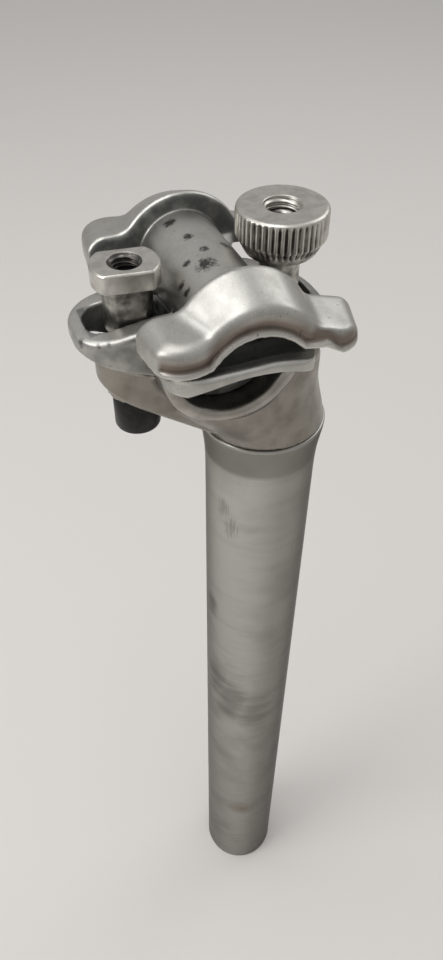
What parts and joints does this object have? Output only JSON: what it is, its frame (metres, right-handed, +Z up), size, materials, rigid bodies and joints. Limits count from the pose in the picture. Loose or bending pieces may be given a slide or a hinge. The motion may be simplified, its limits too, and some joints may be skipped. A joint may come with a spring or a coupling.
{
  "type": "bicycle seatpost",
  "caption": "Setback bicycle seatpost: round tube, forged head and a rocking rail clamp with arched jaws, held by a rear screw and a front knurled thumb nut.",
  "frame": {"origin": "centre of the tube's open lower end, on the tube axis", "axes": "+Z up along the tube axis to the head, +X to the front of the bicycle (the thumb nut's side), -X to the rear, where the clamp is set back"},
  "size_m": [0.0572, 0.0546, 0.2988],
  "materials": {
    "tube_alloy": "satin drawn tube, scuffed",
    "head_alloy": "forged and polished, worn",
    "clamp_alloy": "forged and bead blasted, worn",
    "black_steel": "black oxide",
    "nut_steel": "turned, dull plated"
  },
  "bodies": {
    "post": {"post_tube": "tube_alloy", "head": "head_alloy", "rear_bolt": "black_steel", "rear_nut": "nut_steel", "front_stud": "nut_steel"},
    "clamp": {"lower_cradle": "clamp_alloy", "upper_clamp": "clamp_alloy"},
    "thumb_nut": {"thumb_nut": "nut_steel"}
  },
  "joints": [
    {"name": "clamp_tilt", "type": "hinge", "parent": "post", "child": "clamp", "pos_m": [-0.0142, 0, 0.277], "axis": [0, 1, 0], "range_deg": [0, 5]},
    {"name": "thumb_nut_turn", "type": "hinge", "parent": "post", "child": "thumb_nut", "pos_m": [0.002, 0, 0.29], "axis": [0, 0, 1], "continuous": true}
  ]
}
